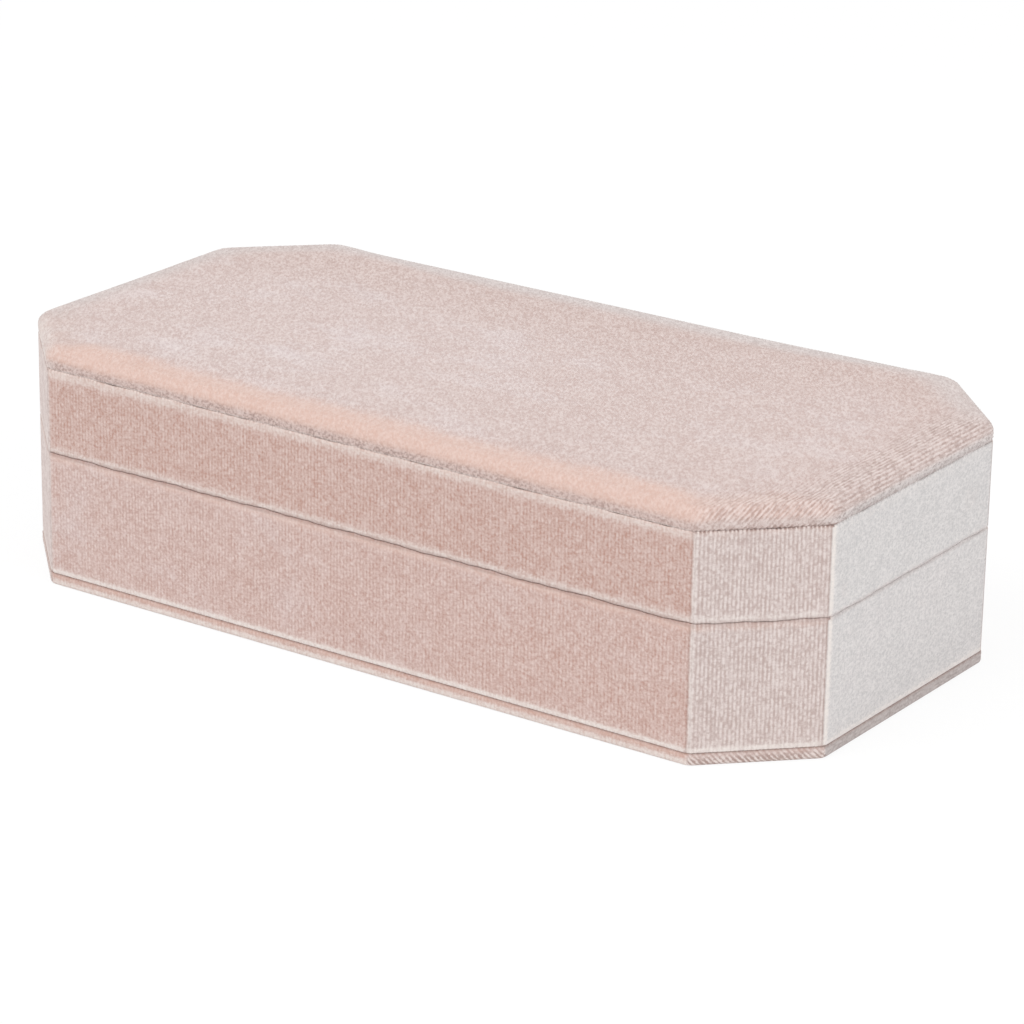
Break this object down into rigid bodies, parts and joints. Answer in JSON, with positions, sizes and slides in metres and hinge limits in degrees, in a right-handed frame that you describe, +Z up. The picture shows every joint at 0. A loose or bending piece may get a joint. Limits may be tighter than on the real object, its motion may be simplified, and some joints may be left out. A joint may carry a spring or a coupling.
{
  "type": "travel jewelry box",
  "caption": "Long octagonal box in ribbed blush velvet with a padded hinged lid, inner mirror, ring rolls and divided compartments.",
  "frame": {"origin": "centre of the underside, on the surface the box stands on", "axes": "+X along the box's length to the right, the front faces -Y with the hinges at +Y, +Z up"},
  "size_m": [0.2088, 0.1069, 0.0557],
  "materials": {
    "outer_velvet": "blush pink fine-ribbed velvet, short nap",
    "lining_velvet": "blush pink velvet lining",
    "roll_velvet": "foam strip in blush pink velvet",
    "felt": "thin pressed felt",
    "foam": "soft upholstery foam",
    "fibreboard": "thin fibreboard",
    "card": "grey card",
    "mirror_glass": "silvered glass",
    "magnet_metal": "nickel-plated magnet",
    "pin_steel": "drawn steel wire",
    "hinge_brass": "satin brass"
  },
  "bodies": {
    "case": {"bottom_board": "fibreboard", "bottom_cover": "outer_velvet", "underside_felt": "felt", "case_wall_board": "fibreboard", "case_wall_cover": "outer_velvet", "case_lining": "lining_velvet", "floor_board": "card", "floor_lining": "lining_velvet", "ring_bed": "card", "ring_roll_1": "roll_velvet", "ring_roll_2": "roll_velvet", "ring_roll_3": "roll_velvet", "ring_roll_4": "roll_velvet", "ring_roll_5": "roll_velvet", "ring_roll_6": "roll_velvet", "ring_divider_card": "card", "ring_divider_cover": "lining_velvet", "long_divider_card": "card", "long_divider_cover": "lining_velvet", "short_divider_1_card": "card", "short_divider_1_cover": "lining_velvet", "short_divider_2_card": "card", "short_divider_2_cover": "lining_velvet", "case_magnets": "magnet_metal", "left_hinge_case_leaf": "hinge_brass", "right_hinge_case_leaf": "hinge_brass", "left_hinge_pin": "pin_steel", "right_hinge_pin": "pin_steel", "case_hinge_rivets": "pin_steel"},
    "lid": {"lid_wall_board": "fibreboard", "lid_wall_cover": "outer_velvet", "lid_lining": "lining_velvet", "lid_top_board": "fibreboard", "lid_pad_board": "card", "lid_pad_foam": "foam", "lid_pad_cover": "outer_velvet", "mirror_backing": "card", "mirror": "mirror_glass", "mirror_frame": "lining_velvet", "lid_magnets": "magnet_metal", "left_hinge_lid_leaf": "hinge_brass", "right_hinge_lid_leaf": "hinge_brass", "lid_hinge_rivets": "pin_steel"}
  },
  "joints": [
    {"name": "lid_hinge", "type": "hinge", "parent": "case", "child": "lid", "pos_m": [0, 0.0525, 0.0309], "axis": [-1, 0, 0], "range_deg": [0, 105]}
  ]
}
